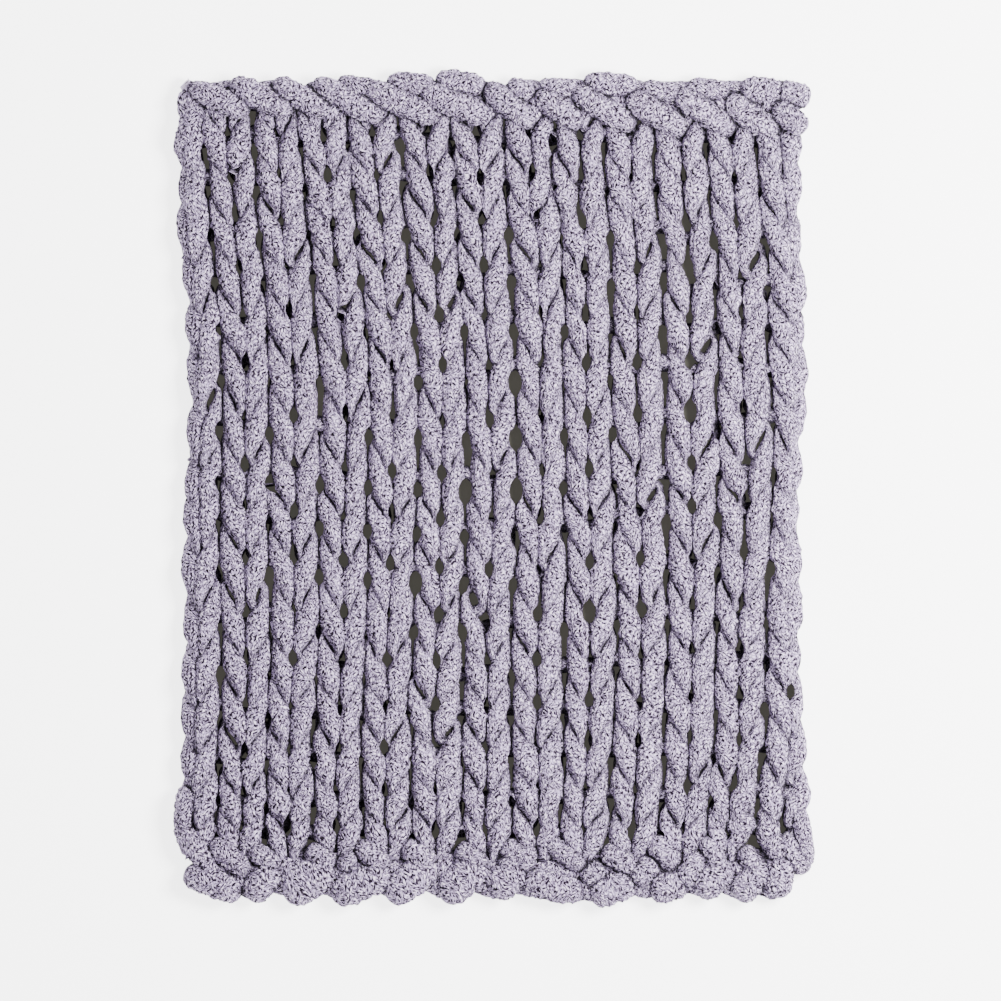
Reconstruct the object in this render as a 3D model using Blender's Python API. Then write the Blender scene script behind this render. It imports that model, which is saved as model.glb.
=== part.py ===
"""Chunky knit blanket lying flat: one thick knitted panel with its bound-off and cast-on edges.

The panel is one closed solid. Its upper side follows the knitted arms of 13 columns by 16 rows, the
bound-off leaves at the head and the cast-on braid at the foot. Its under side is flat. The openings
between the stitches that let the floor show are cut right through. Places are measured by eye in the
photograph's pixels, x to the right and y down, and turned to metres by one scale.
"""

import math
import random

import bmesh
import bpy

PIXEL = 1.5625e-3  # metres for one pixel, from the width that the photograph gives
CENTRE = (494.0, 488.5)  # the middle of the blanket's outline, in pixels
WALES = 13  # knitted columns side by side
ROWS = 16  # knitted rows from head to foot
SEED = 7  # for the small unevenness of hand knitting

THICK_CREST = 0.045  # top of an arm of a stitch
THICK_CREASE = 0.033  # where one arm lies over the next
THICK_TOUCH = 0.031  # where two arms touch side by side
THICK_GAP = 0.022  # beside a closed gap between stitches
THICK_LEAF = 0.044  # top of a leaf of the edges at head and foot
THICK_FOLD = 0.030  # between two leaves of an edge
RIM_HEIGHT = 0.015  # height of the outline's widest line
RIM_INSET = 0.007  # the flat under side starts this far inside the outline
JITTER_FLAT = 1.2  # unevenness along the surface, in pixels
JITTER_UP = 0.0012  # unevenness in height, in metres

GAP_HALF_WIDTH = 3.6  # an opening between stitches, in pixels
GAP_HALF_HEIGHT = 7.5
WIDE_GAP = 1.5  # a wide opening is larger by this

# The lines that part the arms of the stitches: the left outline, then the middle of a column and the
# boundary to the next in turn, then the right outline. Each row gives one line's x at seven heights.
LINE_HEIGHTS = (130, 250, 370, 490, 610, 730, 840)
LINES = (
    ("left outline", 178, 180, 187, 183, 182, 181, 177),
    ("middle 1", 188, 191, 198, 197, 195, 197, 194),
    ("boundary 1", 206, 212, 220, 217, 220, 220, 217),
    ("middle 2", 228, 238, 246, 244, 247, 245, 242),
    ("boundary 2", 253, 260, 270, 269, 270, 268, 265),
    ("middle 3", 276, 285, 293, 294, 294, 290, 287),
    ("boundary 3", 299, 311, 318, 320, 319, 315, 312),
    ("middle 4", 323, 335, 346, 344, 344, 339, 335),
    ("boundary 4", 346, 358, 369, 368, 367, 361, 362),
    ("middle 5", 372, 383, 392, 392, 389, 384, 385),
    ("boundary 5", 399, 406, 418, 418, 415, 409, 412),
    ("middle 6", 427, 436, 443, 441, 438, 435, 435),
    ("boundary 6", 450, 458, 467, 465, 463, 463, 462),
    ("middle 7", 478, 483, 488, 492, 487, 486, 484),
    ("boundary 7", 503, 510, 515, 516, 512, 510, 513),
    ("middle 8", 528, 539, 542, 542, 537, 537, 536),
    ("boundary 8", 551, 563, 565, 563, 564, 565, 559),
    ("middle 9", 577, 584, 586, 590, 589, 589, 581),
    ("boundary 9", 603, 611, 610, 615, 617, 614, 609),
    ("middle 10", 628, 636, 637, 638, 642, 639, 630),
    ("boundary 10", 652, 662, 663, 664, 668, 665, 661),
    ("middle 11", 680, 689, 689, 692, 692, 690, 682),
    ("boundary 11", 704, 714, 717, 718, 717, 716, 709),
    ("middle 12", 731, 739, 742, 746, 740, 740, 728),
    ("boundary 12", 755, 764, 770, 775, 769, 763, 756),
    ("middle 13", 779, 790, 795, 788, 790, 790, 793),
    ("right outline", 800, 805, 810, 801, 803, 806, 813),
)

# One row of the table for each knitted row, from the head: the height of its gaps at the boundaries
# by the left side, in the middle and by the right side, the height of the gap below its point at the
# middle of a column, then the boundaries and the columns' middles where the floor shows. A negative
# number marks a wide opening.
STITCH_ROWS = (
    # left, middle, right, point, open at boundaries, open at middles
    (148, 142, 145, 178, (5,), ()),
    (190, 186, 190, 222, (), (4,)),
    (235, 232, 241, 266, (5, 7, 9, 11), (9,)),
    (279, 279, 290, 313, (4, 7, 9), (6, 7)),
    (328, 329, 328, 364, (5, 6, 7, 8, 10), (6,)),
    (377, 380, 374, 415, (5, -7), (6, 9, 10, 11)),
    (428, 437, 420, 462, (2, 4, 5, 6, -7, 8, 9), (3, 7, 9, 10, -11)),
    (476, 490, 470, 513, (2, 3, 4, 5, -6, -7, 8), (2, 5, 6, 9, 11)),
    (517, 535, 508, 562, (3, 4, 5, 6, 10, 11), (3, 6, 11)),
    (565, 584, 562, 608, (2, 3, 4, -5, 6, 7, 12), (4, 5, 6, 7, 9, 10)),
    (622, 631, 617, 658, (5, 6, 8), (4, 6, 8, -9, 10)),
    (669, 675, 657, 703, (), (3, 5, 6, 8)),
    (719, 716, 705, 750, (12,), (6, 8, 9, 13)),
    (765, 758, 752, 791, (), (5,)),
    (805, 801, 800, 833, (), ()),
    (834, 839, 838, 852, (), ()),
)
ROW_SIDES = (180.0, 494.0, 810.0)  # where a row's three heights are taken

HEAD_LINE = 121.0  # where the knitted rows start below the bound-off leaves
HEAD_EDGE = 75.0  # the upper silhouette
HEAD_LEFT, HEAD_RIGHT = 192.0, 808.0
FOOT_LINE = 853.0  # where the cast-on braid starts
FOOT_EDGE = 904.0  # the lower silhouette
FOOT_LEFT, FOOT_RIGHT = 192.0, 797.0
SCALLOP = 3.5  # how far the edges' bumps stand out, in pixels
ROW_STEPS = 4  # grid rows in one knitted row
EDGE_STEPS = 6  # grid rows across the head or foot edge


def between(x, places, values):
    """Straight-line reading of a table, held level past its ends."""
    if x <= places[0]:
        return values[0]
    for i in range(1, len(places)):
        if x <= places[i]:
            share = (x - places[i - 1]) / (places[i] - places[i - 1])
            return values[i - 1] + share * (values[i] - values[i - 1])
    return values[-1]


def line_x(u, y):
    """x of the place u along the row at height y. Even whole numbers are boundaries, odd ones middles."""
    i = min(int(u), len(LINES) - 2)
    left = between(y, LINE_HEIGHTS, LINES[i][1:])
    right = between(y, LINE_HEIGHTS, LINES[i + 1][1:])
    return left + (u - i) * (right - left)


def crease_y(row, u):
    """Height of the crease under knitted row 0 to ROWS at place u. Row 0 is the line below the head."""
    if row == 0:
        return HEAD_LINE
    left, middle, right, point = STITCH_ROWS[row - 1][:4]
    at_boundary = between(line_x(u, middle), ROW_SIDES, (left, middle, right))
    drop = point - middle  # from a boundary gap down to the point at the column's middle
    from_boundary = 1.0 - abs((u % 2.0) - 1.0)
    return at_boundary + drop * from_boundary


def ridge(t):
    """0 at whole numbers of t, 1 half-way between, rounded like yarn."""
    return abs(math.sin(math.pi * t)) ** 0.8


def stitch_height(u, v):
    """Height of the knitted part at place u and at v rows from the head line."""
    over_arm = THICK_CREASE + (THICK_CREST - THICK_CREASE) * ridge(v)
    beside = THICK_GAP + (THICK_TOUCH - THICK_GAP) * ridge(v)
    on_arm = abs(math.sin(math.pi * u))
    return beside + (over_arm - beside) * on_arm


def leaf_height(t):
    """Height across the twisted leaves of an edge; a leaf's top is at whole numbers of t."""
    return THICK_FOLD + (THICK_LEAF - THICK_FOLD) * abs(math.cos(math.pi * t)) ** 0.7


class Panel:
    """The grid of the upper side, and the solid that is made from it."""

    def __init__(self):
        self.noise = random.Random(SEED)
        self.columns = 4 * WALES + 1
        self.rows = []  # each a list of (x, y, z), pixels and metres
        self.openings = {}  # (grid row, grid column) -> size of the opening there

    def uneven(self, x, y, z):
        """The place moved by a little hand-made unevenness."""
        dx = self.noise.uniform(-JITTER_FLAT, JITTER_FLAT)
        dy = self.noise.uniform(-JITTER_FLAT, JITTER_FLAT)
        return (x + dx, y + dy, z + self.noise.uniform(-JITTER_UP, JITTER_UP))

    def edge_row(self, share, near, far, sides, sign):
        """One grid row of an edge; share runs from 0 by the knitted rows to 1 at the silhouette."""
        row = []
        for column in range(self.columns):
            u = column / 2.0
            bump = SCALLOP * abs(math.cos(math.pi * (u / 2.0 + 0.1)))
            y = near(u) + share * (far + sign * bump - near(u))
            inner = line_x(u, near(u))
            outer = sides[0] + (sides[1] - sides[0]) * column / (self.columns - 1)
            swell = 4.0 * math.sin(math.pi * share) * (u / (2 * WALES) * 2.0 - 1.0)
            x = inner + share * (outer - inner) + swell * (column in (0, self.columns - 1))
            z = leaf_height(share * 1.9 + 0.35 + sign * u / 2.0)
            z = min(z, THICK_FOLD) if share == 1.0 else z
            row.append(self.uneven(x, y, z))
        return row

    def lay_out(self):
        """Works out the whole grid, from the head's silhouette to the foot's."""
        for step in range(EDGE_STEPS, 0, -1):
            share = step / EDGE_STEPS
            self.rows.append(
                self.edge_row(share, lambda u: HEAD_LINE, HEAD_EDGE, (HEAD_LEFT, HEAD_RIGHT), -1.0)
            )
        for step in range(ROWS * ROW_STEPS + 1):
            self.rows.append(self.stitch_row(step))
        for step in range(1, EDGE_STEPS + 1):
            share = step / EDGE_STEPS
            self.rows.append(
                self.edge_row(share, lambda u: crease_y(ROWS, u), FOOT_EDGE, (FOOT_LEFT, FOOT_RIGHT), 1.0)
            )
        self.mark_openings()

    def stitch_row(self, step):
        """One grid row of the knitted part."""
        v = step / ROW_STEPS
        above = min(int(v), ROWS - 1)
        row = []
        for column in range(self.columns):
            u = column / 2.0
            y = crease_y(above, u) + (v - above) * (crease_y(above + 1, u) - crease_y(above, u))
            x = line_x(u, y)
            if column == 0:
                x -= SCALLOP * ridge(v)
            if column == self.columns - 1:
                x += SCALLOP * ridge(v)
            row.append(self.uneven(x, y, stitch_height(u, v)))
        return row

    def mark_openings(self):
        """Notes the grid places where the floor shows between the stitches."""
        for number, (_, _, _, _, boundaries, middles) in enumerate(STITCH_ROWS, start=1):
            place = EDGE_STEPS + number * ROW_STEPS
            for boundary in boundaries:
                size = WIDE_GAP if boundary < 0 else 1.0
                self.openings[(place, 4 * abs(boundary))] = size
            for middle in middles:
                size = WIDE_GAP if middle < 0 else 1.0
                # A row's point gap belongs to the crease above the next row's point.
                self.openings[(place - ROW_STEPS, 4 * abs(middle) - 2)] = size

    def outline(self):
        """Grid places around the outline, once around."""
        last_row, last_column = len(self.rows) - 1, self.columns - 1
        way = [(0, c) for c in range(last_column)]
        way += [(r, last_column) for r in range(last_row)]
        way += [(last_row, c) for c in range(last_column, 0, -1)]
        way += [(r, 0) for r in range(last_row, 0, -1)]
        return way

    def build(self):
        """Makes the closed mesh: upper side, openings, rim and flat under side."""
        mesh = bmesh.new()
        middle = [self.to_metres(x, y, z) for row in self.rows for x, y, z in row]
        rim = set(self.outline())
        grid = {}
        for index, (x, y, z) in enumerate(middle):
            key = divmod(index, self.columns)
            if key not in self.openings:
                grid[key] = mesh.verts.new((x, y, RIM_HEIGHT if key in rim else z))
        corners = {key: self.opening(mesh, key, size) for key, size in self.openings.items()}
        self.upper_side(mesh, grid, corners)
        under = self.rim_and_walls(mesh, grid, corners)
        bmesh.ops.triangle_fill(mesh, edges=under, use_beauty=True, normal=(0.0, 0.0, -1.0))
        bmesh.ops.triangulate(mesh, faces=mesh.faces[:])
        bmesh.ops.recalc_face_normals(mesh, faces=mesh.faces[:])
        return mesh

    def to_metres(self, x, y, z):
        """A measured place as a place in the part's frame."""
        return ((x - CENTRE[0]) * PIXEL, (CENTRE[1] - y) * PIXEL, z)

    def opening(self, mesh, key, size):
        """Four corners of an opening's upper edge: towards the head, right, foot and left."""
        x, y, z = self.rows[key[0]][key[1]]
        wide = GAP_HALF_WIDTH * size
        high = GAP_HALF_HEIGHT * size
        places = ((x, y - high), (x + wide, y), (x, y + high), (x - wide, y))
        return [mesh.verts.new(self.to_metres(px, py, z)) for px, py in places]

    def upper_side(self, mesh, grid, corners):
        """Faces of the upper side. Beside an opening a face takes the two nearest of its corners."""
        # For a face's corner at each offset: the opening corners to take, in the face's turning sense.
        nearest = {(0, 0): (2, 1), (0, 1): (3, 2), (1, 1): (0, 3), (1, 0): (1, 0)}
        for r in range(len(self.rows) - 1):
            for c in range(self.columns - 1):
                ring = []
                for offset in ((0, 0), (0, 1), (1, 1), (1, 0)):
                    key = (r + offset[0], c + offset[1])
                    if key in corners:
                        ring += [corners[key][i] for i in nearest[offset]]
                    else:
                        ring.append(grid[key])
                mesh.faces.new(ring)

    def rim_and_walls(self, mesh, grid, corners):
        """Closes the outline and the openings down to the under side, and returns its open edges."""
        edges = []
        for loop, inset in [([grid[key] for key in self.outline()], RIM_INSET)] + [
            (corner, 0.0) for corner in corners.values()
        ]:
            low = []
            for i, vert in enumerate(loop):
                before, after = loop[i - 1].co, loop[(i + 1) % len(loop)].co
                along = (after - before).to_2d().normalized()
                # The outline runs clockwise seen from above, so its inside is on the right.
                x = vert.co.x + along.y * inset
                y = vert.co.y - along.x * inset
                low.append(mesh.verts.new((x, y, 0.0)))
            for i in range(len(loop)):
                j = (i + 1) % len(loop)
                mesh.faces.new((loop[i], loop[j], low[j], low[i]))
                edges.append(mesh.edges.get((low[i], low[j])))
        return edges


def clear_scene():
    """Removes the objects that a new file starts with."""
    for thing in list(bpy.data.objects):
        bpy.data.objects.remove(thing, do_unlink=True)


def chenille_material():
    """Soft lavender-grey chenille yarn."""
    material = bpy.data.materials.new("chenille_yarn")
    material.use_nodes = True
    shader = material.node_tree.nodes["Principled BSDF"]
    shader.inputs["Base Color"].default_value = (0.42, 0.38, 0.50, 1.0)
    shader.inputs["Roughness"].default_value = 0.92
    return material


def main():
    clear_scene()
    panel = Panel()
    panel.lay_out()
    solid = panel.build()
    data = bpy.data.meshes.new("blanket")
    solid.to_mesh(data)
    solid.free()
    blanket = bpy.data.objects.new("blanket", data)
    bpy.context.scene.collection.objects.link(blanket)
    data.materials.append(chenille_material())
    low = min(v.co.y for v in data.vertices), max(v.co.y for v in data.vertices)
    side = min(v.co.x for v in data.vertices), max(v.co.x for v in data.vertices)
    for vert in data.vertices:
        vert.co.x -= (side[0] + side[1]) / 2.0
        vert.co.y -= (low[0] + low[1]) / 2.0
    print(len(data.vertices), "vertices", len(data.polygons), "triangles", side, low)


if __name__ == "__main__":
    main()
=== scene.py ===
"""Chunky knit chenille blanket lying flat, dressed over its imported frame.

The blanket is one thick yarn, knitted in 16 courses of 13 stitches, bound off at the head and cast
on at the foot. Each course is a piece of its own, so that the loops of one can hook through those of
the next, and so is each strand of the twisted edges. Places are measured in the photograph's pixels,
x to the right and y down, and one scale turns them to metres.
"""

import logging
import math
from dataclasses import dataclass, field
from enum import Enum

import bpy
import numpy as np
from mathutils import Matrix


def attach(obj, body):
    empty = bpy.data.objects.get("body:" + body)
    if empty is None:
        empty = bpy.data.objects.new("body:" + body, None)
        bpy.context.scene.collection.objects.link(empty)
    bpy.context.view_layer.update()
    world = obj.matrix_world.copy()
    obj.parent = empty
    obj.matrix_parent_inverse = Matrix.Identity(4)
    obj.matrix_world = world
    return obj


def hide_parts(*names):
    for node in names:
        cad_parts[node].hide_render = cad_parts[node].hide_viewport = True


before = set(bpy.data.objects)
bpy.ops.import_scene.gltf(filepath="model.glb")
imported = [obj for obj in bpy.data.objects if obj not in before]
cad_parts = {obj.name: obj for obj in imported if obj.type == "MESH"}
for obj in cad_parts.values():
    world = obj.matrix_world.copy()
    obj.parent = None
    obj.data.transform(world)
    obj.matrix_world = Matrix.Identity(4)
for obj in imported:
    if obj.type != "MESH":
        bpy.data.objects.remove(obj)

LOG = logging.getLogger("blanket")

PIXEL = 1.5625e-3  # metres for one pixel, from the width that the photograph gives
CENTRE = (494.76, 489.43)  # the place in the photograph that is the frame's origin
PHOTO_MIDDLE = (500.5, 500.5)
PHOTO_SIDE = 1001.0
WALES = 13  # knitted columns side by side
COURSES = 16  # knitted rows from head to foot
NODE = "blanket"
SEED = 21

# The lines that part the arms of the stitches: the left outline, then the middle of a column and the
# boundary to the next in turn, then the right outline. Each row gives one line's x at seven heights.
LINE_HEIGHTS = np.array((130.0, 250, 370, 490, 610, 730, 840))
LINES = (
    ("left outline", 178, 180, 187, 183, 182, 181, 177),
    ("middle 1", 180, 186, 197, 197, 195, 197, 194),
    ("boundary 1", 202, 212, 220, 217, 220, 220, 217),
    ("middle 2", 228, 238, 246, 244, 247, 245, 242),
    ("boundary 2", 253, 260, 270, 269, 270, 268, 265),
    ("middle 3", 276, 285, 293, 294, 294, 290, 287),
    ("boundary 3", 299, 311, 318, 320, 319, 315, 312),
    ("middle 4", 323, 335, 346, 344, 344, 339, 335),
    ("boundary 4", 346, 358, 369, 368, 367, 361, 362),
    ("middle 5", 372, 383, 392, 392, 389, 384, 385),
    ("boundary 5", 399, 406, 418, 418, 415, 409, 412),
    ("middle 6", 427, 436, 443, 441, 438, 435, 435),
    ("boundary 6", 450, 458, 467, 465, 463, 463, 462),
    ("middle 7", 478, 483, 488, 492, 487, 486, 484),
    ("boundary 7", 503, 510, 515, 516, 512, 510, 513),
    ("middle 8", 528, 539, 542, 542, 537, 537, 536),
    ("boundary 8", 551, 563, 565, 563, 564, 565, 559),
    ("middle 9", 577, 584, 586, 590, 589, 589, 581),
    ("boundary 9", 603, 611, 610, 615, 617, 614, 609),
    ("middle 10", 628, 636, 637, 638, 642, 639, 630),
    ("boundary 10", 652, 662, 663, 664, 668, 665, 661),
    ("middle 11", 680, 689, 689, 692, 692, 690, 682),
    ("boundary 11", 704, 714, 717, 718, 717, 716, 709),
    ("middle 12", 731, 739, 742, 746, 740, 740, 728),
    ("boundary 12", 755, 764, 770, 775, 769, 763, 756),
    ("middle 13", 779, 794, 797, 790, 790, 791, 778),
    ("right outline", 800, 805, 810, 801, 803, 806, 813),
)

# One row of the table for each course, from the head: the height of its gaps at the boundaries by the
# left side, in the middle and by the right side, the height of the gap below its points, then the
# boundaries and the middles where the floor shows. A negative number marks a wide opening.
COURSE_TABLE = (
    # left, middle, right, point, open at boundaries, open at middles
    (148, 142, 145, 178, (5,), ()),
    (190, 186, 190, 222, (), (4,)),
    (235, 232, 241, 266, (5, 7, 9, 11), (9,)),
    (279, 279, 290, 313, (4, 7, 9), (6, 7)),
    (328, 329, 328, 364, (5, 6, 7, 8, 10), (6,)),
    (377, 380, 374, 415, (5, -7), (6, 9, 10, 11)),
    (428, 437, 420, 462, (2, 4, 5, 6, -7, 8, 9), (3, 7, 9, 10, -11)),
    (476, 490, 470, 513, (2, 3, 4, 5, -6, -7, 8), (2, 5, 6, 9, 11)),
    (517, 535, 508, 562, (3, 4, 5, 6, 10, 11), (3, 6, 11)),
    (565, 584, 562, 608, (2, 3, 4, -5, 6, 7, 12), (4, 5, 6, 7, 9, 10)),
    (622, 631, 617, 658, (5, 6, 8), (4, 6, 8, -9, 10)),
    (669, 675, 657, 703, (), (3, 5, 6, 8)),
    (719, 716, 705, 750, (12,), (6, 8, 9, 13)),
    (765, 758, 752, 791, (), (5,)),
    (805, 801, 800, 833, (), ()),
    (834, 839, 838, 866, (), ()),
)
COURSE_SIDES = np.array((180.0, 494.0, 810.0))  # where a course's three heights are taken
HEAD_HEIGHTS = (88.0, 104.0)  # heights of the two lines above the first course's gaps

# The leaves of each edge strand, one row for a leaf: x and y of its two ends, then its width, in pixels.
BOUND_OFF_LEAVES = (
    (197, 91, 241, 109, 25),
    (239, 87, 284, 109, 26),
    (281, 87, 323, 110, 25),
    (323, 87, 373, 114, 26),
    (373, 91, 427, 114, 27),
    (429, 94, 481, 114, 30),
    (492, 92, 528, 120, 25),
    (542, 97, 576, 121, 26),
    (580, 95, 626, 122, 26),
    (634, 101, 678, 127, 27),
    (684, 98, 726, 127, 27),
    (732, 104, 770, 130, 28),
    (778, 108, 801, 127, 25),
)
BOUND_OFF_BACK = (
    (345, 86, 372, 90, 24),
    (396, 84, 426, 87, 25),
    (445, 82, 476, 87, 26),
    (488, 90, 500, 94, 22),
    (512, 88, 530, 93, 22),
    (546, 88, 572, 90, 22),
    (594, 84, 628, 87, 25),
    (648, 91, 674, 93, 23),
    (694, 89, 722, 91, 23),
    (748, 90, 776, 92, 27),
    (784, 92, 804, 97, 25),
)
BOUND_OFF_CORE = (
    (200, 98, 340, 99, 25),
    (350, 99, 500, 102, 25),
    (510, 102, 650, 106, 25),
    (660, 106, 790, 112, 25),
)
CAST_ON_CORE = (
    (202, 869, 340, 871, 32),
    (350, 871, 500, 872, 32),
    (510, 872, 650, 874, 32),
    (660, 874, 784, 868, 30),
)
CAST_ON_BACK = (
    (226, 878, 258, 888, 24),
    (268, 876, 300, 888, 26),
    (318, 876, 350, 889, 28),
    (372, 876, 404, 889, 28),
    (424, 876, 456, 889, 28),
    (470, 876, 502, 888, 28),
    (510, 878, 540, 886, 26),
    (566, 880, 596, 891, 26),
    (622, 882, 658, 886, 26),
    (676, 878, 706, 886, 24),
    (718, 878, 746, 888, 26),
    (758, 882, 778, 890, 24),
)
CAST_ON_UPPER = (
    (214, 845, 244, 868, 25),
    (252, 850, 276, 865, 22),
    (310, 850, 332, 865, 23),
    (360, 846, 384, 866, 24),
    (406, 847, 431, 863, 24),
    (461, 848, 482, 866, 23),
    (506, 846, 530, 866, 22),
    (550, 843, 580, 866, 20),
    (606, 852, 633, 868, 24),
    (654, 842, 675, 864, 25),
    (705, 840, 720, 866, 20),
    (744, 850, 757, 873, 21),
    (770, 836, 780, 858, 22),
)
CAST_ON_LOWER = (
    (194, 876, 232, 890, 29),
    (252, 892, 272, 871, 30),
    (292, 890, 325, 868, 40),
    (342, 892, 382, 874, 33),
    (395, 891, 428, 866, 36),
    (448, 891, 478, 866, 36),
    (496, 888, 516, 868, 36),
    (532, 882, 574, 890, 31),
    (598, 894, 628, 882, 31),
    (656, 890, 680, 884, 29),
    (702, 888, 725, 868, 32),
    (741, 892, 762, 868, 31),
    (776, 890, 782, 862, 30),
)
CAST_ON_BETWEEN = (
    (340, 868, 353, 854, 18),
    (503, 868, 532, 851, 22),
    (584, 880, 602, 868, 21),
    (637, 882, 652, 862, 25),
    (685, 882, 699, 855, 26),
    (733, 833, 749, 817, 27),
)
LEFT_FOOT = ((186, 792, 183, 828, 21), (183, 830, 212, 870, 25))
RIGHT_FOOT = ((799, 812, 807, 858, 18), (785, 838, 803, 868, 22))
LEFT_HEAD = ((196, 106, 183, 150, 23),)

# An arm's width as a share of the yarn's full width, and how far it leans over in half columns, by
# degrees from a foot or head (0) to the arm's middle (90).
ARM_SHAPE = (
    # degrees, width, lean
    (0, 0.72, 0.66),
    (22, 0.56, 0.66),
    (35, 0.44, 0.61),
    (45, 0.45, 0.54),
    (54, 0.55, 0.49),
    (62, 0.69, 0.45),
    (70, 0.84, 0.42),
    (78, 0.95, 0.38),
    (90, 1.00, 0.36),
)


def smooth_noise(count: int, knots: int, spread: float, rng: np.random.Generator) -> np.ndarray:
    """Random values that change slowly along a line.

    Random numbers at evenly spaced knots, joined by straight lines.

    Args:
        count: How many values to return.
        knots: How many random numbers they run through.
        spread: Standard deviation of the random numbers.
        rng: Source of the random numbers.

    Returns:
        One value for each place along the line.
    """
    places = np.linspace(0.0, knots - 1.0, count)
    return np.interp(places, np.arange(knots), rng.normal(0.0, spread, knots))


def linear(code: str) -> tuple[float, float, float, float]:
    """Turns a screen colour to the linear values that shaders take.

    Each channel c above 0.04045 becomes ((c + 0.055) / 1.055) to the power 2.4, and c / 12.92 below.

    Args:
        code: Red, green and blue as six hexadecimal digits.

    Returns:
        Red, green, blue and an alpha of 1.
    """
    values = [int(code[i : i + 2], 16) / 255.0 for i in (0, 2, 4)]
    turned = [c / 12.92 if c <= 0.04045 else ((c + 0.055) / 1.055) ** 2.4 for c in values]
    return (turned[0], turned[1], turned[2], 1.0)


@dataclass(frozen=True)
class Lattice:
    """The uneven net of columns and courses that the hand-knitted stitches hang on."""

    edge_yarn: float = 11.5  # half the width of the yarn at the sides, in pixels
    roll: float = 2.0  # how far the second strand at a side stands in from the first
    opening: tuple[float, float] = (4.4, 8.0)  # half width and height of an opening, in pixels
    hollow: tuple[float, float] = (3.5, 8.5)  # the same for a closed hollow between two loops
    hollow_floor: float = 0.013  # height in metres below which a hollow parts nothing
    hollow_sizes: tuple[float, float] = (0.35, 1.15)  # least and greatest size of a hollow, as a share
    hollow_shift: float = 0.06  # unevenness of a hollow's height, in courses
    wide: float = 1.5  # size of a wide opening, as a share
    drop: float = 0.06  # how far below its course's line a gap at a boundary lies, in courses
    lift: float = 0.30  # and how far above the line a gap at a middle lies
    below_last: float = 44.0  # from the last line down to the end of the net, in pixels

    def line_x(self, u: np.ndarray, y: np.ndarray) -> np.ndarray:
        """x of places along the courses.

        The table is read straight across lines and heights, and held clear of the outlines by the
        yarn's half width.

        Args:
            u: Places, in half columns from the left outline.
            y: Heights, in pixels.

        Returns:
            x in pixels.
        """
        table = np.array([row[1:] for row in LINES], dtype=float)
        u = np.clip(u, 0.0, len(LINES) - 1.0)
        index = np.minimum(u.astype(int), len(LINES) - 2)
        last_step = len(LINE_HEIGHTS) - 1.0
        step = np.interp(y, LINE_HEIGHTS, np.arange(last_step + 1.0))
        step = np.clip(step, 0.0, last_step - 1e-4)
        low = step.astype(int)
        share = step - low
        left = table[index, low] * (1 - share) + table[index, low + 1] * share
        right = table[index + 1, low] * (1 - share) + table[index + 1, low + 1] * share
        x = left + (u - index) * (right - left)
        last = len(LINES) - 1.0
        first_x = np.interp(y, LINE_HEIGHTS, table[0])
        last_x = np.interp(y, LINE_HEIGHTS, table[-1])
        x = np.maximum(x, first_x + self.edge_yarn + self.roll * u)
        return np.minimum(x, last_x - self.edge_yarn - self.roll * (last - u))

    def place(self, u: np.ndarray, w: np.ndarray) -> tuple[np.ndarray, np.ndarray]:
        """Turns places in the net to pixels.

        Height w at a boundary is that course's gap height, and half way between it is read straight.

        Args:
            u: Places across, in half columns.
            w: Places down, in courses.

        Returns:
            x and y in pixels.
        """
        heights = np.array([row[:3] for row in COURSE_TABLE], dtype=float)
        head = np.array(HEAD_HEIGHTS)[:, None] + np.zeros((2, 3))
        heights = np.vstack((head, heights, heights[-1] + self.below_last))
        numbers = np.arange(-1.0, COURSES + 2.0)
        side = np.clip(u, 0.0, len(LINES) - 1.0) / (len(LINES) - 1.0)
        x_guess = COURSE_SIDES[0] + side * (COURSE_SIDES[2] - COURSE_SIDES[0])
        columns = [np.interp(w, numbers, heights[:, i]) for i in range(3)]
        share = np.clip((x_guess - COURSE_SIDES[0]) / (COURSE_SIDES[1] - COURSE_SIDES[0]), 0.0, 2.0)
        y = np.where(
            share <= 1.0,
            columns[0] + share * (columns[1] - columns[0]),
            columns[1] + (share - 1.0) * (columns[2] - columns[1]),
        )
        return self.line_x(u, y), y

    def openings(self) -> np.ndarray:
        """Places where the strands part: openings to the floor, and closed hollows everywhere else.

        Returns:
            x, y, half width, half height and lowest height of each, in metres.
        """
        rng = np.random.default_rng(SEED)
        found = []
        for number, (*_, boundaries, middles) in enumerate(COURSE_TABLE, start=1):
            places = [(2.0 * i, number + self.drop, i, boundaries) for i in range(1, WALES)]
            places += [(2.0 * i - 1.0, number - self.lift, i, middles) for i in range(1, WALES + 1)]
            for u, w, i, listed in places:
                if i in listed or -i in listed:
                    size = self.wide if -i in listed else 1.0
                    found.append((u, w, self.opening[0] * size, self.opening[1] * size, -1.0))
                elif 1.0 < u < 2.0 * WALES - 1.0:
                    size = rng.uniform(*self.hollow_sizes)
                    w += rng.normal(0.0, self.hollow_shift)
                    found.append((u, w, self.hollow[0] * size, self.hollow[1] * size, self.hollow_floor))
        table = np.array(found)
        x, y = self.place(table[:, 0], table[:, 1])
        x, y = (x - CENTRE[0]) * PIXEL, (CENTRE[1] - y) * PIXEL
        return np.column_stack((x, y, table[:, 2] * PIXEL, table[:, 3] * PIXEL, table[:, 4]))


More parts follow.
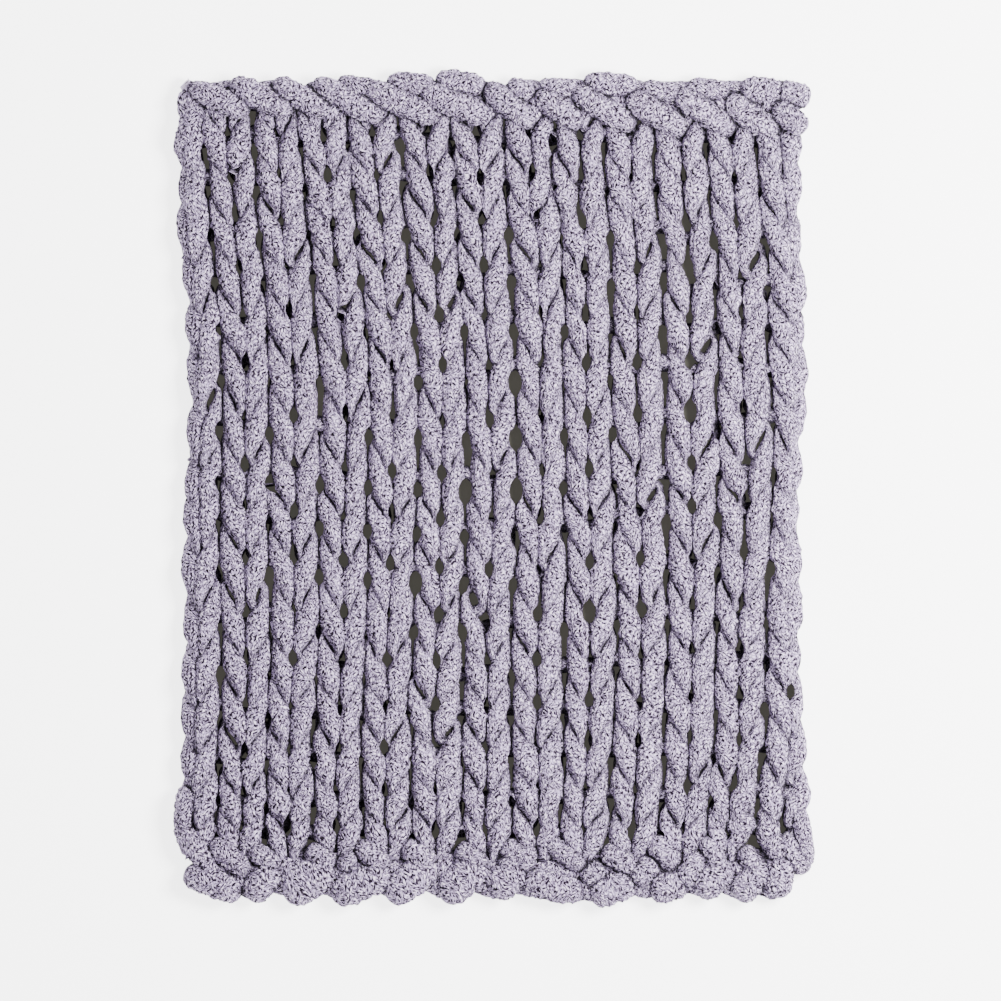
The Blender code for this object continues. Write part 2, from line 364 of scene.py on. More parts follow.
@dataclass(frozen=True)
class Yarn:
    """The thick chenille yarn and how it is drawn as a tube."""

    half_width: float = 0.0185  # along the blanket's surface, in metres
    half_thickness: float = 0.0155  # through the blanket
    crown: float = 1.25  # 1 is an oval section, and more is a narrower crown
    above: int = 20  # grid points around the yarn's upper half
    below: int = 8  # and around its lower half
    pile_spread: float = 0.0008  # unevenness of the pile's surface
    pile_limit: float = 2.5  # greatest unevenness, in spreads
    matting: float = 0.35  # share of its unevenness that a point takes from those beside it
    floor_gap: float = 0.0004  # lowest height of the skin above the floor
    near: tuple[float, float] = (6.0, 3.5)  # how far off an opening can move the yarn, in its half sizes
    fade_end: float = 1.5  # where the move has faded out, in half sizes
    growth: float = 0.006  # height over which the move grows from none to all

    def part(self, skin: np.ndarray, path: np.ndarray, side: np.ndarray, openings: np.ndarray) -> None:
        """Pushes the skin out of the places where the strands part.

        Each section of the yarn gives way along its own side axis, to the side that its middle is on.
        In units of an opening's half sizes, with a along that axis and b square to it, a point goes
        to the cube root of max(a, 0)^3 + e^3, where e^2 = 1 - b^2 is the opening's edge. Past b = 1
        the move fades out, and it grows from none at the lowest height to all a little above it.

        Args:
            skin: Grid of points, moved in place.
            path: Points along the yarn's middle.
            side: The section's side axis at each.
            openings: x, y, half width, half height and lowest height of each, in metres.
        """
        for x, y, half_width, half_height, lowest in openings:
            size = np.array((half_width, half_height))
            middle = (path[:, :2] - (x, y)) / size
            near = np.flatnonzero((np.abs(middle) < self.near).all(1))
            if not len(near):
                continue
            axis = side[near, :2] / size
            axis /= np.linalg.norm(axis, axis=1, keepdims=True)
            axis *= np.where((middle[near] * axis).sum(1) >= 0.0, 1.0, -1.0)[:, None]
            spot = (skin[near, :, :2] - (x, y)) / size
            along = (spot * axis[:, None]).sum(-1)
            across = np.sqrt(np.maximum((spot**2).sum(-1) - along**2, 0.0))
            edge = np.sqrt(np.clip(1.0 - across**2, 0.0, 1.0))
            fade = np.clip((self.fade_end - across) / (self.fade_end - 1.0), 0.0, 1.0)
            share = fade * np.clip((skin[near, :, 2] - lowest) / self.growth, 0.0, 1.0)
            move = (np.cbrt(np.maximum(along, 0.0) ** 3 + edge**3) - along) * share
            skin[near, :, :2] += move[..., None] * axis[:, None] * size

    def sweep(
        self,
        name: str,
        path: np.ndarray,
        along: np.ndarray,
        wide: np.ndarray,
        thick: np.ndarray,
        rng: np.random.Generator,
        openings: np.ndarray,
    ) -> bpy.types.Object:
        """Carries the yarn's oval section along a path.

        At each point the section's side axis is level and square to the yarn's direction, and its up
        axis is square to both. A point of the skin is path + wide cos(a) side + thick sin(a)^crown up,
        moved out by a small random share for the pile, and nothing goes below the floor.

        Args:
            name: Name of the new piece.
            path: Points along the yarn's middle, in metres.
            along: The yarn's direction at each.
            wide: Half width of the section at each.
            thick: Half thickness of the section at each.
            rng: Source of the pile's unevenness.
            openings: x, y, half width, half height and lowest height of each opening, in metres.

        Returns:
            The new piece, closed at both ends.
        """
        along = along / np.linalg.norm(along, axis=1, keepdims=True)
        side = np.cross(along, (0.0, 0.0, 1.0))
        side /= np.linalg.norm(side, axis=1, keepdims=True) + 1e-9
        up = np.cross(side, along)
        count = len(path)
        turn = np.concatenate((np.arange(self.above) / self.above, 1.0 + np.arange(self.below) / self.below))
        turn = turn * np.pi
        pile = rng.normal(0.0, 1.0, (count, len(turn)))
        pile = pile + self.matting * (np.roll(pile, 1, 1) + np.roll(pile, 1, 0))
        pile = np.clip(pile, -self.pile_limit, self.pile_limit)
        reach = 1.0 + pile * self.pile_spread / self.half_thickness
        peak = np.sign(np.sin(turn)) * np.abs(np.sin(turn)) ** self.crown
        across = (np.cos(turn)[None, :] * wide[:, None] * reach)[..., None] * side[:, None, :]
        upward = (peak[None, :] * thick[:, None] * reach)[..., None] * up[:, None, :]
        skin = path[:, None, :] + across + upward
        self.part(skin, path, side, openings)
        length = np.concatenate(((0.0,), np.cumsum(np.linalg.norm(np.diff(path, axis=0), axis=1))))
        return self.skin_mesh(name, skin, turn, length, wide)

    def skin_mesh(
        self, name: str, skin: np.ndarray, turn: np.ndarray, length: np.ndarray, wide: np.ndarray
    ) -> bpy.types.Object:
        """Puts a tube's grid of points in a mesh, with flat lengths around and along as its UV map.

        Args:
            name: Name of the new piece.
            skin: Grid of points, along and around.
            turn: Angles around.
            length: Real length along the yarn at each point of the path.
            wide: Half width at each point of the path. Not used.

        Returns:
            The new piece.
        """
        count, around = skin.shape[:2]
        skin[..., 2] = np.maximum(skin[..., 2], self.floor_gap)
        points = np.vstack((skin.reshape(-1, 3), skin[0].mean(0)[None], skin[-1].mean(0)[None]))
        i, j = np.meshgrid(np.arange(count - 1), np.arange(around), indexing="ij")
        k = (j + 1) % around
        quads = np.stack((i * around + j, (i + 1) * around + j, (i + 1) * around + k, i * around + k), -1)
        ring = np.arange(around)
        after = (ring + 1) % around
        first = np.column_stack((ring, after, np.full(around, count * around)))
        base = (count - 1) * around
        last = np.column_stack((base + after, base + ring, np.full(around, count * around + 1)))
        loops = np.concatenate((quads.reshape(-1), first.reshape(-1), last.reshape(-1)))
        sizes = np.concatenate((np.full(quads.size // 4, 4), np.full(2 * around, 3)))
        mesh = bpy.data.meshes.new(name)
        mesh.vertices.add(len(points))
        mesh.vertices.foreach_set("co", points.ravel())
        mesh.loops.add(len(loops))
        mesh.loops.foreach_set("vertex_index", loops.astype(np.int32))
        mesh.polygons.add(len(sizes))
        starts = np.concatenate(((0,), np.cumsum(sizes)[:-1]))
        mesh.polygons.foreach_set("loop_start", starts.astype(np.int32))
        mesh.update(calc_edges=True)
        mesh.polygons.foreach_set("use_smooth", np.ones(len(sizes), dtype=bool))
        self.add_map(mesh, skin, turn, length, i, j, around)
        piece = bpy.data.objects.new(name, mesh)
        bpy.context.scene.collection.objects.link(piece)
        return piece

    def add_map(
        self,
        mesh: bpy.types.Mesh,
        skin: np.ndarray,
        turn: np.ndarray,
        length: np.ndarray,
        i: np.ndarray,
        j: np.ndarray,
        around: int,
    ) -> None:
        """Lays a UV map over a tube: metres around it and metres along it.

        Args:
            mesh: The tube's mesh.
            skin: Its grid of points. Not used.
            turn: Angles around.
            length: Real length along the yarn.
            i: Grid row of each four-sided face.
            j: Grid column of each four-sided face.
            around: Grid points around the yarn.
        """
        girth = 2.0 * math.pi * math.sqrt(self.half_width * self.half_thickness)
        around_share = np.append(turn / (2.0 * np.pi), 1.0)
        here, after = around_share[j] * girth, around_share[j + 1] * girth
        across = np.stack((here, here, after, after), -1)
        down = np.stack((length[i], length[i + 1], length[i + 1], length[i]), -1)
        faces = np.stack((across, down), -1).reshape(-1, 2)
        ends = np.zeros((around * 6, 2))
        layer = mesh.uv_layers.new(name="YarnLengths")
        layer.uv.foreach_set("vector", np.vstack((faces, ends)).ravel().astype(np.float32))


@dataclass(frozen=True)
class KnitCourse:
    """One course of 13 stitches: the yarn's way through all the loops of one knitted row."""

    number: int
    lattice: Lattice
    yarn: Yarn
    steps: int = 60  # grid points along one stitch
    reach: float = 0.92  # half height of a loop, in courses
    middle: float = 0.0225  # height of the yarn's middle above the floor
    rise: float = 0.0065  # how far arms stand above it, and heads and feet lie below
    tuck: float = 0.0090  # how far an arm's lower end stands in front, and its upper end behind
    shift: float = 0.12  # how far up from its line a course is centred, in courses
    past_last: float = 0.4  # how far below the last line loops reach, in courses
    under_edge: float = 0.0090  # how much lower the yarn lies under an edge
    under_start: float = 0.15  # how far above the last line it starts to go lower, in courses
    swell: float = 0.27  # how much fuller the lower end is, and how much slimmer the upper end
    flat: float = 0.08  # how much flatter heads and feet are than arms, as a share
    side_reach: float = 1.2  # how far in from a side the yarn lies lower, in half columns
    side_drop: float = 0.014  # how much lower for each half column
    lowest: float = 0.97  # least height of the yarn's middle, as a share of its half thickness
    lean_noise: float = 0.06  # unevenness of how arms lean, in half columns
    down_noise: float = 0.08  # unevenness down the blanket, in courses
    across_noise: float = 2.0  # unevenness across it, in pixels
    through_noise: float = 0.0012  # unevenness through it, in metres
    size_noise: float = 0.08  # unevenness of the yarn's size, as a share

    def build(self) -> bpy.types.Object:
        """Builds the course.

        Along the angle t, one stitch a full turn, the yarn goes across as t / pi + lean sin 2t, down
        the blanket as reach cos t, and through it as -rise cos 2t: arms in front, heads and feet
        behind. Width and lean come from the table of an arm's shape. At an arm's lower end, where
        cos t sin^2 t is above 0, the yarn stands in front and is fuller, and at its upper end it is
        tucked behind and slimmer.

        Returns:
            The course's piece.
        """
        rng = np.random.default_rng(SEED + self.number)
        count = WALES * self.steps + 1
        t = np.linspace(0.0, 2.0 * np.pi * WALES, count)
        arms = 2 * WALES
        degrees, shares, leans = np.array(ARM_SHAPE).T
        from_foot = np.degrees(np.arcsin(np.abs(np.sin(t))))
        lean = np.interp(from_foot, degrees, leans) + smooth_noise(count, arms + 1, self.lean_noise, rng)
        u = t / np.pi + lean * np.sin(2.0 * t)
        w = self.number - self.shift + self.reach * np.cos(t)
        w = np.minimum(w + smooth_noise(count, arms + 1, self.down_noise, rng), COURSES + self.past_last)
        x, y = self.lattice.place(u, w)
        x = x + smooth_noise(count, arms + 1, self.across_noise, rng)
        lower = np.cos(t) * np.sin(t) ** 2
        height = self.middle - self.rise * np.cos(2.0 * t) + self.tuck * lower
        height = height + smooth_noise(count, arms + 1, self.through_noise, rng)
        under = np.clip((w - COURSES + self.under_start) / self.past_last, 0.0, 1.0)
        height = height - self.under_edge * (1.0 if self.number == 0 else under)
        side = np.clip(self.side_reach - np.minimum(u, 2 * WALES - u), 0.0, self.side_reach)
        height = np.maximum(height - self.side_drop * side, self.yarn.half_thickness * self.lowest)
        path = np.column_stack(((x - CENTRE[0]) * PIXEL, (CENTRE[1] - y) * PIXEL, height))
        size = 1.0 + smooth_noise(count, arms + 1, self.size_noise, rng) + self.swell * lower
        wide = self.yarn.half_width * np.interp(from_foot, degrees, shares) * size
        thick = self.yarn.half_thickness * (1.0 - self.flat + self.flat * np.sin(t) ** 2) * size
        openings = self.lattice.openings()
        along = np.gradient(path, axis=0)
        return self.yarn.sweep(f"course_{self.number:02d}", path, along, wide, thick, rng, openings)


class EdgeStrand(Enum):
    """The strands that the edges are twisted from, by the table that each follows."""

    BOUND_OFF = BOUND_OFF_LEAVES
    BOUND_OFF_BEHIND = BOUND_OFF_BACK
    BOUND_OFF_INSIDE = BOUND_OFF_CORE
    CAST_ON = CAST_ON_UPPER
    CAST_ON_OUTER = CAST_ON_LOWER
    CAST_ON_THIRD = CAST_ON_BETWEEN
    CAST_ON_INSIDE = CAST_ON_CORE
    CAST_ON_BEHIND = CAST_ON_BACK
    LEFT_CORNER = LEFT_FOOT
    RIGHT_CORNER = RIGHT_FOOT
    HEAD_CORNER = LEFT_HEAD


@dataclass(frozen=True)
class LeafEdge:
    """A twisted edge: the yarn winds along it, and each turn shows as one slanted leaf."""

    name: str
    strand: EdgeStrand
    yarn: Yarn
    middle: float = 0.0225  # height of the yarn's middle above the floor
    rise: float = 0.0080  # how far leaves stand above it, and the way behind lies below
    overrun: float = 0.17  # how far a leaf runs past its two ends, as a share of its length
    slim: float = 0.12  # thickness at a leaf's ends and behind, as a share
    fullness: float = 1.05  # thickness of a leaf, as a share of the yarn's
    tip: float = 0.006  # how much lower the ends of a leaf lie than its middle
    steps: int = 40  # grid points along one leaf and the way behind to the next
    front: float = 0.86  # share of them on the leaf
    size_noise: float = 0.03  # unevenness of the yarn's size, as a share

    def build(self) -> bpy.types.Object:
        """Builds the edge.

        Over a leaf the yarn goes straight from one end to the other. Its place s runs from 0 to 1 as
        (1 - cos(pi q)) / 2, and its height, width and thickness go up as the root of
        1 - (1 - 2s)^4, so both ends are round and low. Behind, it goes on to the next leaf, thin.

        Returns:
            The edge's piece.
        """
        rng = np.random.default_rng(SEED + len(self.name))
        leaves = np.array(self.strand.value, dtype=float)
        leaf = leaves[:, 2:4] - leaves[:, :2]
        start, end = leaves[:, :2] - leaf * self.overrun, leaves[:, 2:4] + leaf * self.overrun
        turn = np.linspace(0.0, len(leaves) - 1.0 + self.front - 1e-6, len(leaves) * self.steps)
        number = np.floor(turn).astype(int)
        following = np.minimum(number + 1, len(leaves) - 1)
        share = turn - number
        on_leaf = share < self.front
        part = np.where(on_leaf, share / self.front, (share - self.front) / (1.0 - self.front))
        place = np.where(on_leaf, (1.0 - np.cos(np.pi * part)) / 2.0, part)
        first = np.where(on_leaf[:, None], start[number], end[number])
        last = np.where(on_leaf[:, None], end[number], start[following])
        spot = first + (last - first) * place[:, None]
        arch = np.where(on_leaf, np.sqrt(1.0 - np.abs(1.0 - 2.0 * place) ** 4), 0.0)
        height = self.middle + self.rise * np.where(on_leaf, arch, -np.sin(np.pi * part))
        height = height + self.tip * (arch - 1.0)
        path = np.column_stack(((spot - CENTRE) * (PIXEL, -PIXEL), height))
        share_behind = np.where(on_leaf, 0.0, part)[:, None]
        heading = leaf[number] * (1.0 - share_behind) + leaf[following] * share_behind
        along = np.column_stack((heading * (1.0, -1.0), np.zeros(len(turn))))
        uneven = 1.0 + smooth_noise(len(turn), 2 * len(leaves), self.size_noise, rng)
        swell = (self.slim + (1.0 - self.slim) * arch) * uneven
        wide = leaves[number, 4] * PIXEL / 2.0 * swell
        thick = self.yarn.half_thickness * self.fullness * swell
        return self.yarn.sweep(self.name, path, along, wide, thick, rng, np.empty((0, 5)))


@dataclass(frozen=True)
class ChenilleFinish:
    """Soft lavender-grey chenille: pile tips with painted highlight, and darker roots between them with
    painted shade.
    """

    name: str = "lavender_grey_chenille"
    # the near-white tip is painted highlight; shade and the near-black root are painted shade between wisps;
    # pale and body are the yarn's own tone
    tip: str = "F6E6FF"
    pale: str = "BAA7D2"
    body: str = "9484A4"
    shade: str = "524854"
    root: str = "1A1220"
    stops: tuple[float, ...] = (0.37, 0.43, 0.49, 0.58, 0.69)  # the wisps' values at root, then to tip
    stroke: tuple[float, float] = (0.0021, 0.0048)  # width and length of a wisp of pile, in metres
    slants: tuple[float, float] = (0.65, -0.80)  # how the wisps lean to the yarn, in radians
    patch: float = 0.012  # size of a patch of wisps that lean the same way
    patch_edge: tuple[float, float] = (0.47, 0.53)  # noise values between which patches change over
    pit: float = 0.0046  # size of a pit of painted shade between wisps
    pit_edge: tuple[float, float] = (0.32, 0.40)  # noise values between which a pit ends
    pit_light: float = 0.35  # light left in a pit, as a share
    light_in_painted_shade: float = 0.13  # light left where the painted shade is deepest
    bump: float = 0.005  # how far wisps stand out, in metres
    roughness: float = 0.95
    sheen: float = 0.04
    specular: float = 0.08

    def material(self) -> bpy.types.Material:
        """Builds the material for the chenille yarn of a knitted throw.

        Wisps are drawn along the yarn's own lengths: two stretched noises with different slants, and
        patches of either, coloured from painted shade at the roots to painted highlight at the tips. A
        third noise paints shade into pits between them. The painted shade kept on each point darkens the
        pile where little light gets down between the strands.

        Returns:
            The material.
        """
        material = bpy.data.materials.new(self.name)
        material.use_nodes = True
        tree = material.node_tree
        shader = tree.nodes["Principled BSDF"]
        shader.inputs["Roughness"].default_value = self.roughness
        shader.inputs["Specular IOR Level"].default_value = self.specular
        shader.inputs["Sheen Weight"].default_value = self.sheen
        shader.inputs["Sheen Roughness"].default_value = 0.5
        lengths = node(tree, "ShaderNodeUVMap", {"uv_map": "YarnLengths"}, {}).outputs["UV"]
        first, second = (self.wisps(tree, lengths, slant) for slant in self.slants)
        patches = self.noise(tree, lengths, self.patch)
        either = self.between(tree, patches, self.patch_edge, (0.0, 1.0))
        wisps = node(tree, "ShaderNodeMix", {}, {"Factor": either, "A": first, "B": second})
        colours = node(tree, "ShaderNodeValToRGB", {}, {"Fac": wisps.outputs["Result"]})
        ramp = colours.color_ramp
        ramp.elements[0].position = self.stops[0]
        ramp.elements[0].color = linear(self.root)
        ramp.elements[1].position = self.stops[-1]
        ramp.elements[1].color = linear(self.tip)
        for position, code in zip(self.stops[1:-1], (self.shade, self.body, self.pale)):
            ramp.elements.new(position).color = linear(code)
        # painted shade in pits between the wisps
        pit_shade = self.noise(tree, lengths, self.pit)
        pit_shade = self.between(tree, pit_shade, self.pit_edge, (self.pit_light, 1.0))
        # painted shade: the value kept on each point darkens the colour
        painted_shade = node(tree, "ShaderNodeAttribute", {"attribute_name": "painted_shade"}, {})
        light = self.between(tree, painted_shade.outputs["Fac"], (0.0, 1.0), (1.0, self.light_in_painted_shade))
        painted_darkening = node(tree, "ShaderNodeMath", {"operation": "MULTIPLY"}, {0: pit_shade, 1: light})
        colour = node(
            tree,
            "ShaderNodeVectorMath",
            {"operation": "SCALE"},
            {"Vector": colours.outputs["Color"], "Scale": painted_darkening.outputs["Value"]},
        )
        tree.links.new(colour.outputs["Vector"], shader.inputs["Base Color"])
        bump = node(
            tree,
            "ShaderNodeBump",
            {},
            {"Height": wisps.outputs["Result"], "Strength": 1.0, "Distance": self.bump},
        )
        tree.links.new(bump.outputs["Normal"], shader.inputs["Normal"])
        return material

    def wisps(
        self, tree: bpy.types.NodeTree, lengths: bpy.types.NodeSocket, slant: float
    ) -> bpy.types.NodeSocket:
        """A noise stretched along one slant.

        Args:
            tree: The material's node tree.
            lengths: Places on the yarn, in metres.
            slant: Angle to the yarn, in radians.

        Returns:
            The noise's value.
        """
        turned = node(
            tree,
            "ShaderNodeMapping",
            {"vector_type": "TEXTURE"},
            {"Vector": lengths, "Rotation": (0.0, 0.0, slant), "Scale": (*self.stroke, 1.0)},
        )
        made = node(
            tree,
            "ShaderNodeTexNoise",
            {},
            {"Vector": turned.outputs["Vector"], "Scale": 1.0, "Detail": 0.6, "Distortion": 0.7},
        )
        return made.outputs["Fac"]

    def noise(
        self, tree: bpy.types.NodeTree, lengths: bpy.types.NodeSocket, size: float
    ) -> bpy.types.NodeSocket:
        """A plain noise with features of one size, in metres."""
        sockets = {"Vector": lengths, "Scale": 1.0 / size, "Detail": 0.0}
        return node(tree, "ShaderNodeTexNoise", {}, sockets).outputs["Fac"]

    def between(
        self,
        tree: bpy.types.NodeTree,
        value: bpy.types.NodeSocket,
        start: tuple[float, float],
        end: tuple[float, float],
    ) -> bpy.types.NodeSocket:
        """Moves a value from one range to another, straight and held at both ends.

        Args:
            tree: The material's node tree.
            value: The value.
            start: The range that it comes in.
            end: The range that it goes out in.

        Returns:
            The moved value.
        """
        sockets = {"Value": value, "From Min": start[0], "From Max": start[1]}
        sockets.update({"To Min": end[0], "To Max": end[1]})
        return node(tree, "ShaderNodeMapRange", {}, sockets).outputs["Result"]


def node(tree: bpy.types.NodeTree, kind: str, settings: dict, sockets: dict) -> bpy.types.Node:
    """Adds a node with its settings, and fills or links its inputs.

    Args:
        tree: The material's node tree.
        kind: Blender's name for the node.
        settings: Properties of the node.
        sockets: Input name to a value or to another node's output.

    Returns:
        The new node.
    """
    made = tree.nodes.new(kind)
    for name, value in settings.items():
        setattr(made, name, value)
    for name, value in sockets.items():
        if isinstance(value, bpy.types.NodeSocket):
            tree.links.new(value, made.inputs[name])
        else:
            made.inputs[name].default_value = value
    return made


@dataclass(frozen=True)
class PaintedShadeMap:
    """Painted shade on each point of the pile, from how deep it lies between the strands around it."""

    around: int  # grid points around a strand
    cell: float = 0.0016  # side of a cell of the height map, in metres
    near: int = 3  # cells to each side that a crease is compared with
    far: int = 7  # cells to each side that a gap is compared with
    painted_shade: tuple[float, float] = (0.0006, 0.0040)  # depth where a crease's painted shade starts, and further to black
    gap: tuple[float, float] = (0.0040, 0.0110)  # the same for painted shade in a gap between strands
    step: tuple[float, float, float] = (0.0006, 0.0034, 0.85)  # the same for painted shade beside a step, and its share
    flank: tuple[float, float, float] = (0.80, 0.75, 0.50)  # upward part where a side gets painted shade, span, share
    inside: tuple[float, float] = (0.62, 0.30)  # filled share where the outer edge ends, and its span
    under: float = -0.2  # upward part below which a point is on the under side
    under_shade: float = 0.5  # painted shade value there
    margin: float = 0.03  # empty border of the height map

    def banks(self, grid: np.ndarray, reach: int) -> np.ndarray:
        """Height of the lower bank of the valley that each cell lies in.

        Along four lines through a cell, the lower of the two heights at one distance to both sides,
        and of the four the highest. At an outer edge one side is the floor, so no valley is found.

        Args:
            grid: Height map.
            reach: Distance in cells.

        Returns:
            One height for each cell.
        """
        slanted = round(0.7 * reach)
        found = np.zeros_like(grid)
        for move in ((reach, 0), (0, reach), (slanted, slanted), (slanted, -slanted)):
            back = (-move[0], -move[1])
            found = np.maximum(found, np.minimum(np.roll(grid, move, (0, 1)), np.roll(grid, back, (0, 1))))
        return found

    def smooth(self, grid: np.ndarray, reach: int) -> np.ndarray:
        """Gives each cell the mean over a square around it.

        Args:
            grid: Height map.
            reach: Cells from the square's middle to its side.

        Returns:
            The smoothed map.
        """
        for axis in (0, 1):
            total = sum(np.roll(grid, step, axis) for step in range(-reach, reach + 1))
            grid = total / (2 * reach + 1)
        return grid

    def skin(self, place: np.ndarray) -> np.ndarray:
        """Fills a strand's grid of points, so that no cell of the height map is missed.

        Each cycle adds the point half way to the next along, and each second one the point half way
        around.

        Args:
            place: The strand's points, with its two end points last.

        Returns:
            All points, the added ones too.
        """
        grid = place[:-2].reshape(-1, self.around, 3)
        for _ in range(2):
            half = (grid[1:] + grid[:-1]) / 2.0
            grid = np.concatenate((np.stack((grid[:-1], half), 1).reshape(-1, *grid.shape[1:]), grid[-1:]))
        return np.concatenate((grid, (grid + np.roll(grid, -1, 1)) / 2.0), 1).reshape(-1, 3)

    def mark(self, pieces: list[bpy.types.Object]) -> None:
        """Keeps a painted shade value from 0 to 1 on every point of every piece, to darken its colour.

        The top of the throw is drawn as a height map. A point gets painted shade in a crease where it lies
        below both banks close by, and in a gap where it lies far below both banks further away. It gets it
        beside a step where it lies below the mean of the cells around, and on the sides of strands too.
        These last two fade out at the outer edge, where there are no strands around. Points on the under
        side take one fixed painted shade.

        Args:
            pieces: The pieces of the throw.
        """
        places = []
        for piece in pieces:
            place = np.empty(len(piece.data.vertices) * 3, dtype=np.float32)
            piece.data.vertices.foreach_get("co", place)
            places.append(place.reshape(-1, 3))
        low = np.min([place[:, :2].min(0) for place in places], axis=0) - self.margin
        high = np.max([place[:, :2].max(0) for place in places], axis=0) + self.margin
        top = np.zeros(tuple(((high - low) / self.cell).astype(int) + 1), dtype=np.float32)
        for place in places:
            skin = self.skin(place)
            cell = ((skin[:, :2] - low) / self.cell).astype(int)
            np.maximum.at(top, (cell[:, 0], cell[:, 1]), skin[:, 2])
        even = self.smooth(top, 1)
        close, wide = self.banks(even, self.near), self.banks(even, self.far)
        mean = self.smooth(top, self.near + 1)
        filled = self.smooth((top > 0.0).astype(np.float32), 2 * self.far)
        for piece, place in zip(pieces, places):
            facing = np.empty(len(place) * 3, dtype=np.float32)
            piece.data.vertex_normals.foreach_get("vector", facing)
            up = facing.reshape(-1, 3)[:, 2]
            cell = ((place[:, :2] - low) / self.cell).astype(int)
            here = (cell[:, 0], cell[:, 1])
            painted_shade = np.clip((close[here] - self.painted_shade[0] - place[:, 2]) / self.painted_shade[1], 0.0, 1.0)
            gap = np.clip((wide[here] - self.gap[0] - place[:, 2]) / self.gap[1], 0.0, 1.0)
            step = np.clip((mean[here] - self.step[0] - place[:, 2]) / self.step[1], 0.0, 1.0) * self.step[2]
            flank = np.clip((self.flank[0] - up) / self.flank[1], 0.0, 1.0) * self.flank[2]
            inside = np.clip((filled[here] - self.inside[0]) / self.inside[1], 0.0, 1.0)
            # painted shade: darker in creases, gaps, beside steps, on the sides of strands and on the under
            # side
            light = (1.0 - painted_shade) * (1.0 - gap) * (1.0 - step * inside) * (1.0 - flank * inside)
            shade = np.where(up > self.under, 1.0 - light, self.under_shade)
            layer = piece.data.attributes.new("painted_shade", "FLOAT", "POINT")
            layer.data.foreach_set("value", shade.astype(np.float32))


@dataclass
class Blanket:
    """The whole knitted throw."""

    lattice: Lattice = field(default_factory=Lattice)
    yarn: Yarn = field(default_factory=Yarn)
    finish: ChenilleFinish = field(default_factory=ChenilleFinish)

    def build(self) -> list[bpy.types.Object]:
        """Builds the courses and both edges.

        Returns:
            All pieces of the throw.
        """
        pieces = [KnitCourse(number, self.lattice, self.yarn).build() for number in range(COURSES + 1)]
        return pieces + [edge.build() for edge in self.edges()]

    def edges(self) -> list[LeafEdge]:
        """Lists the strands of both edges and of three corners, with the height of each one's middle.

        Returns:
            The strands.
        """
        kind, yarn = EdgeStrand, self.yarn
        core = {"rise": 0.0, "overrun": 0.06, "slim": 1.0, "tip": 0.0, "steps": 30}
        return [
            LeafEdge("bound_off_edge", kind.BOUND_OFF, yarn, 0.0245, overrun=0.20, fullness=1.18, steps=54),
            LeafEdge("bound_off_behind", kind.BOUND_OFF_BEHIND, yarn, 0.02, 0.004, overrun=0.32, steps=32),
            LeafEdge("bound_off_core", kind.BOUND_OFF_INSIDE, yarn, 0.016, **core),
            LeafEdge("cast_on_edge", kind.CAST_ON, yarn, 0.0235),
            LeafEdge("cast_on_outer", kind.CAST_ON_OUTER, yarn, 0.0225, overrun=0.26, steps=44),
            LeafEdge("cast_on_between", kind.CAST_ON_THIRD, yarn, 0.023),
            LeafEdge("cast_on_core", kind.CAST_ON_INSIDE, yarn, 0.018, **core),
            LeafEdge("cast_on_behind", kind.CAST_ON_BEHIND, yarn, 0.0165, rise=0.002, steps=30),
            LeafEdge("left_foot_strand", kind.LEFT_CORNER, yarn, 0.02),
            LeafEdge("right_foot_strand", kind.RIGHT_CORNER, yarn, 0.02),
            LeafEdge("left_head_strand", kind.HEAD_CORNER, yarn, 0.019),
        ]

    def dress(self, pieces: list[bpy.types.Object]) -> None:
        """Gives every piece the yarn's finish, with painted shade kept on its points, and its place in the
        frame.

        Args:
            pieces: The pieces of the throw.
        """
        material = self.finish.material()
        # painted shade in creases, gaps and on the sides of strands, kept on every point
        PaintedShadeMap(self.yarn.above + self.yarn.below).mark(pieces)
        for piece in pieces:
            piece.data.materials.append(material)
            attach(piece, "root")
            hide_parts(NODE)
            LOG.info("%s: %d faces", piece.name, len(piece.data.polygons))


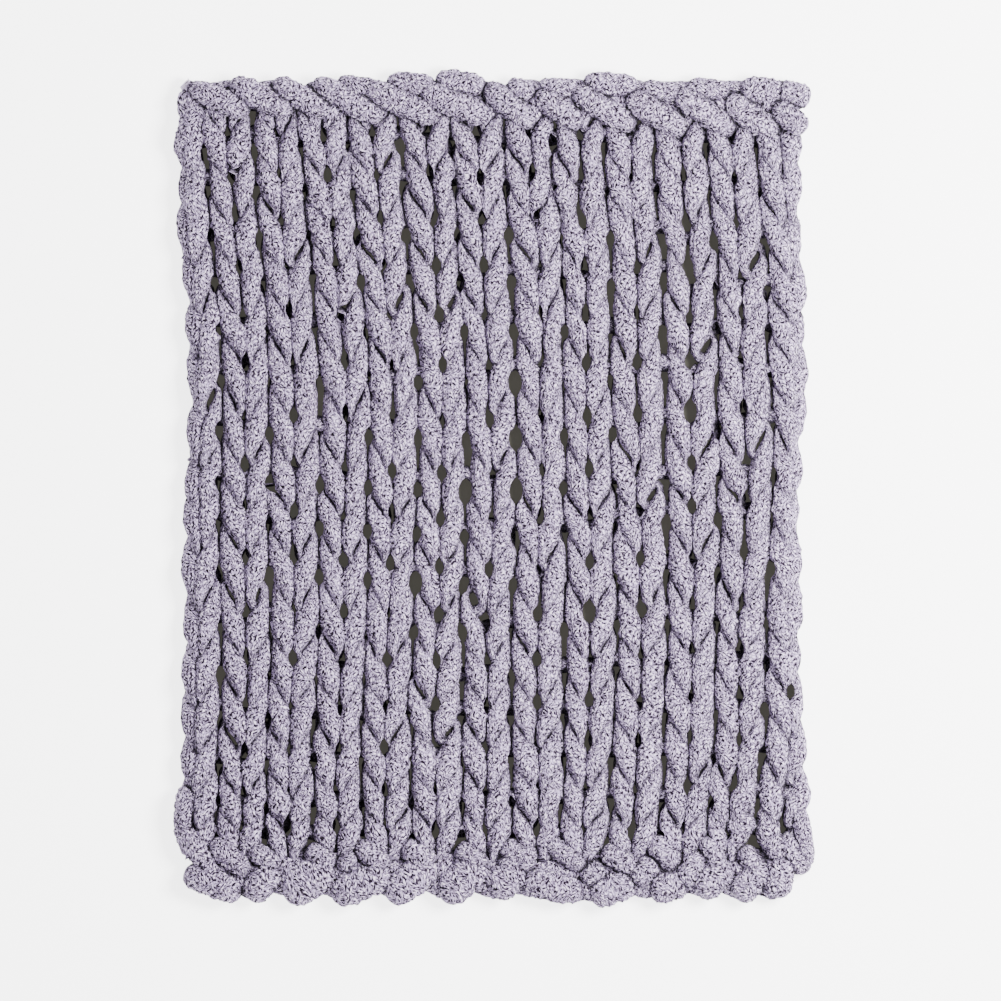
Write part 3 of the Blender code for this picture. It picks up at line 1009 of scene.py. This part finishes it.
@dataclass(frozen=True)
class Studio:
    """Plain pale floor, painted shadow under the throw, soft light above and a camera that looks straight
    down.
    """

    floor_colour: str = "FFFFFF"
    floor_glow: float = 3.5  # so that the pale floor is as bright as a lit studio sweep
    floor_half: float = 6.0  # half the floor's side, in metres
    floor_height: float = -0.0002  # so that the sheet of painted shadow lies on it
    under_shadow_colour: str = "5E5C55"  # painted shadow: a grey sheet that shows through the knitting in place of the floor's shade
    under_painted_glow: float = 0.5  # painted light: the sheet's own glow, so that openings aren't black
    under_half: tuple[float, float] = (0.472, 0.60)  # half its sides, hidden below the edges
    light_place: tuple[float, float, float] = (2.1, 0.4, 2.7)
    light_size: float = 1.4
    light_power: float = 410.0  # in watts
    sky: float = 0.85  # strength of the even light from all around
    height: float = 4.0  # of the camera

    def build(self) -> None:
        """Sets up the floor, the sheet of painted shadow under the throw, the light and the camera."""
        floor = (self.floor_half, self.floor_half)
        self.ground("pale_floor", floor, self.floor_height, self.floor_colour, self.floor_glow)
        # painted shadow: a grey, faintly glowing sheet under the throw, in place of the floor's shade
        self.ground("painted_shadow_under_blanket", self.under_half, 0.0, self.under_shadow_colour, self.under_painted_glow)
        self.light("soft_light_above", self.light_place, self.light_size, self.light_power)
        world = bpy.data.worlds.new("studio")
        world.use_nodes = True
        world.node_tree.nodes["Background"].inputs["Color"].default_value = (1.0, 1.0, 1.0, 1.0)
        world.node_tree.nodes["Background"].inputs["Strength"].default_value = self.sky
        bpy.context.scene.world = world
        self.camera()

    def ground(self, name: str, half: tuple[float, float], z: float, colour: str, glow: float) -> None:
        """Lays a flat rectangle that isn't part of the throw.

        Args:
            name: Name of the rectangle and its material.
            half: Half its width and half its length, in metres.
            z: Its height.
            colour: Its screen colour.
            glow: Strength of its own light.
        """
        turns = ((-1.0, -1.0), (1.0, -1.0), (1.0, 1.0), (-1.0, 1.0))
        corners = [(x * half[0], y * half[1], z) for x, y in turns]
        mesh = bpy.data.meshes.new(name)
        mesh.from_pydata(corners, [], [(0, 1, 2, 3)])
        sheet = bpy.data.objects.new(name, mesh)
        bpy.context.scene.collection.objects.link(sheet)
        material = bpy.data.materials.new(name)
        material.use_nodes = True
        shader = material.node_tree.nodes["Principled BSDF"]
        shader.inputs["Base Color"].default_value = linear(colour)
        shader.inputs["Roughness"].default_value = 1.0
        shader.inputs["Specular IOR Level"].default_value = 0.0
        shader.inputs["Emission Color"].default_value = linear(colour)
        shader.inputs["Emission Strength"].default_value = glow
        mesh.materials.append(material)

    def light(self, name: str, place: tuple[float, float, float], size: float, power: float) -> None:
        """Adds a square soft light that faces the blanket.

        Args:
            name: Name of the light.
            place: Where it hangs, in metres.
            size: Its side.
            power: Its power in watts.
        """
        data = bpy.data.lights.new(name, "AREA")
        data.size = size
        data.energy = power
        lamp = bpy.data.objects.new(name, data)
        lamp.location = place
        away = np.array(place) / np.linalg.norm(place)
        lamp.rotation_euler = (math.acos(away[2]), 0.0, math.atan2(away[1], away[0]) + math.pi / 2.0)
        bpy.context.scene.collection.objects.link(lamp)

    def camera(self) -> None:
        """Hangs the camera over the middle of the photograph."""
        data = bpy.data.cameras.new("camera")
        data.type = "ORTHO"
        data.ortho_scale = PHOTO_SIDE * PIXEL
        eye = bpy.data.objects.new("camera", data)
        eye.location = (
            (PHOTO_MIDDLE[0] - CENTRE[0]) * PIXEL,
            (CENTRE[1] - PHOTO_MIDDLE[1]) * PIXEL,
            self.height,
        )
        bpy.context.scene.collection.objects.link(eye)
        bpy.context.scene.camera = eye


def main() -> None:
    """Builds the throw and the studio, and reports each piece."""
    logging.basicConfig(level=logging.INFO, format="%(name)s: %(message)s")
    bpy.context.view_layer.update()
    blanket = Blanket()
    blanket.dress(blanket.build())
    Studio().build()


if __name__ == "__main__":
    main()
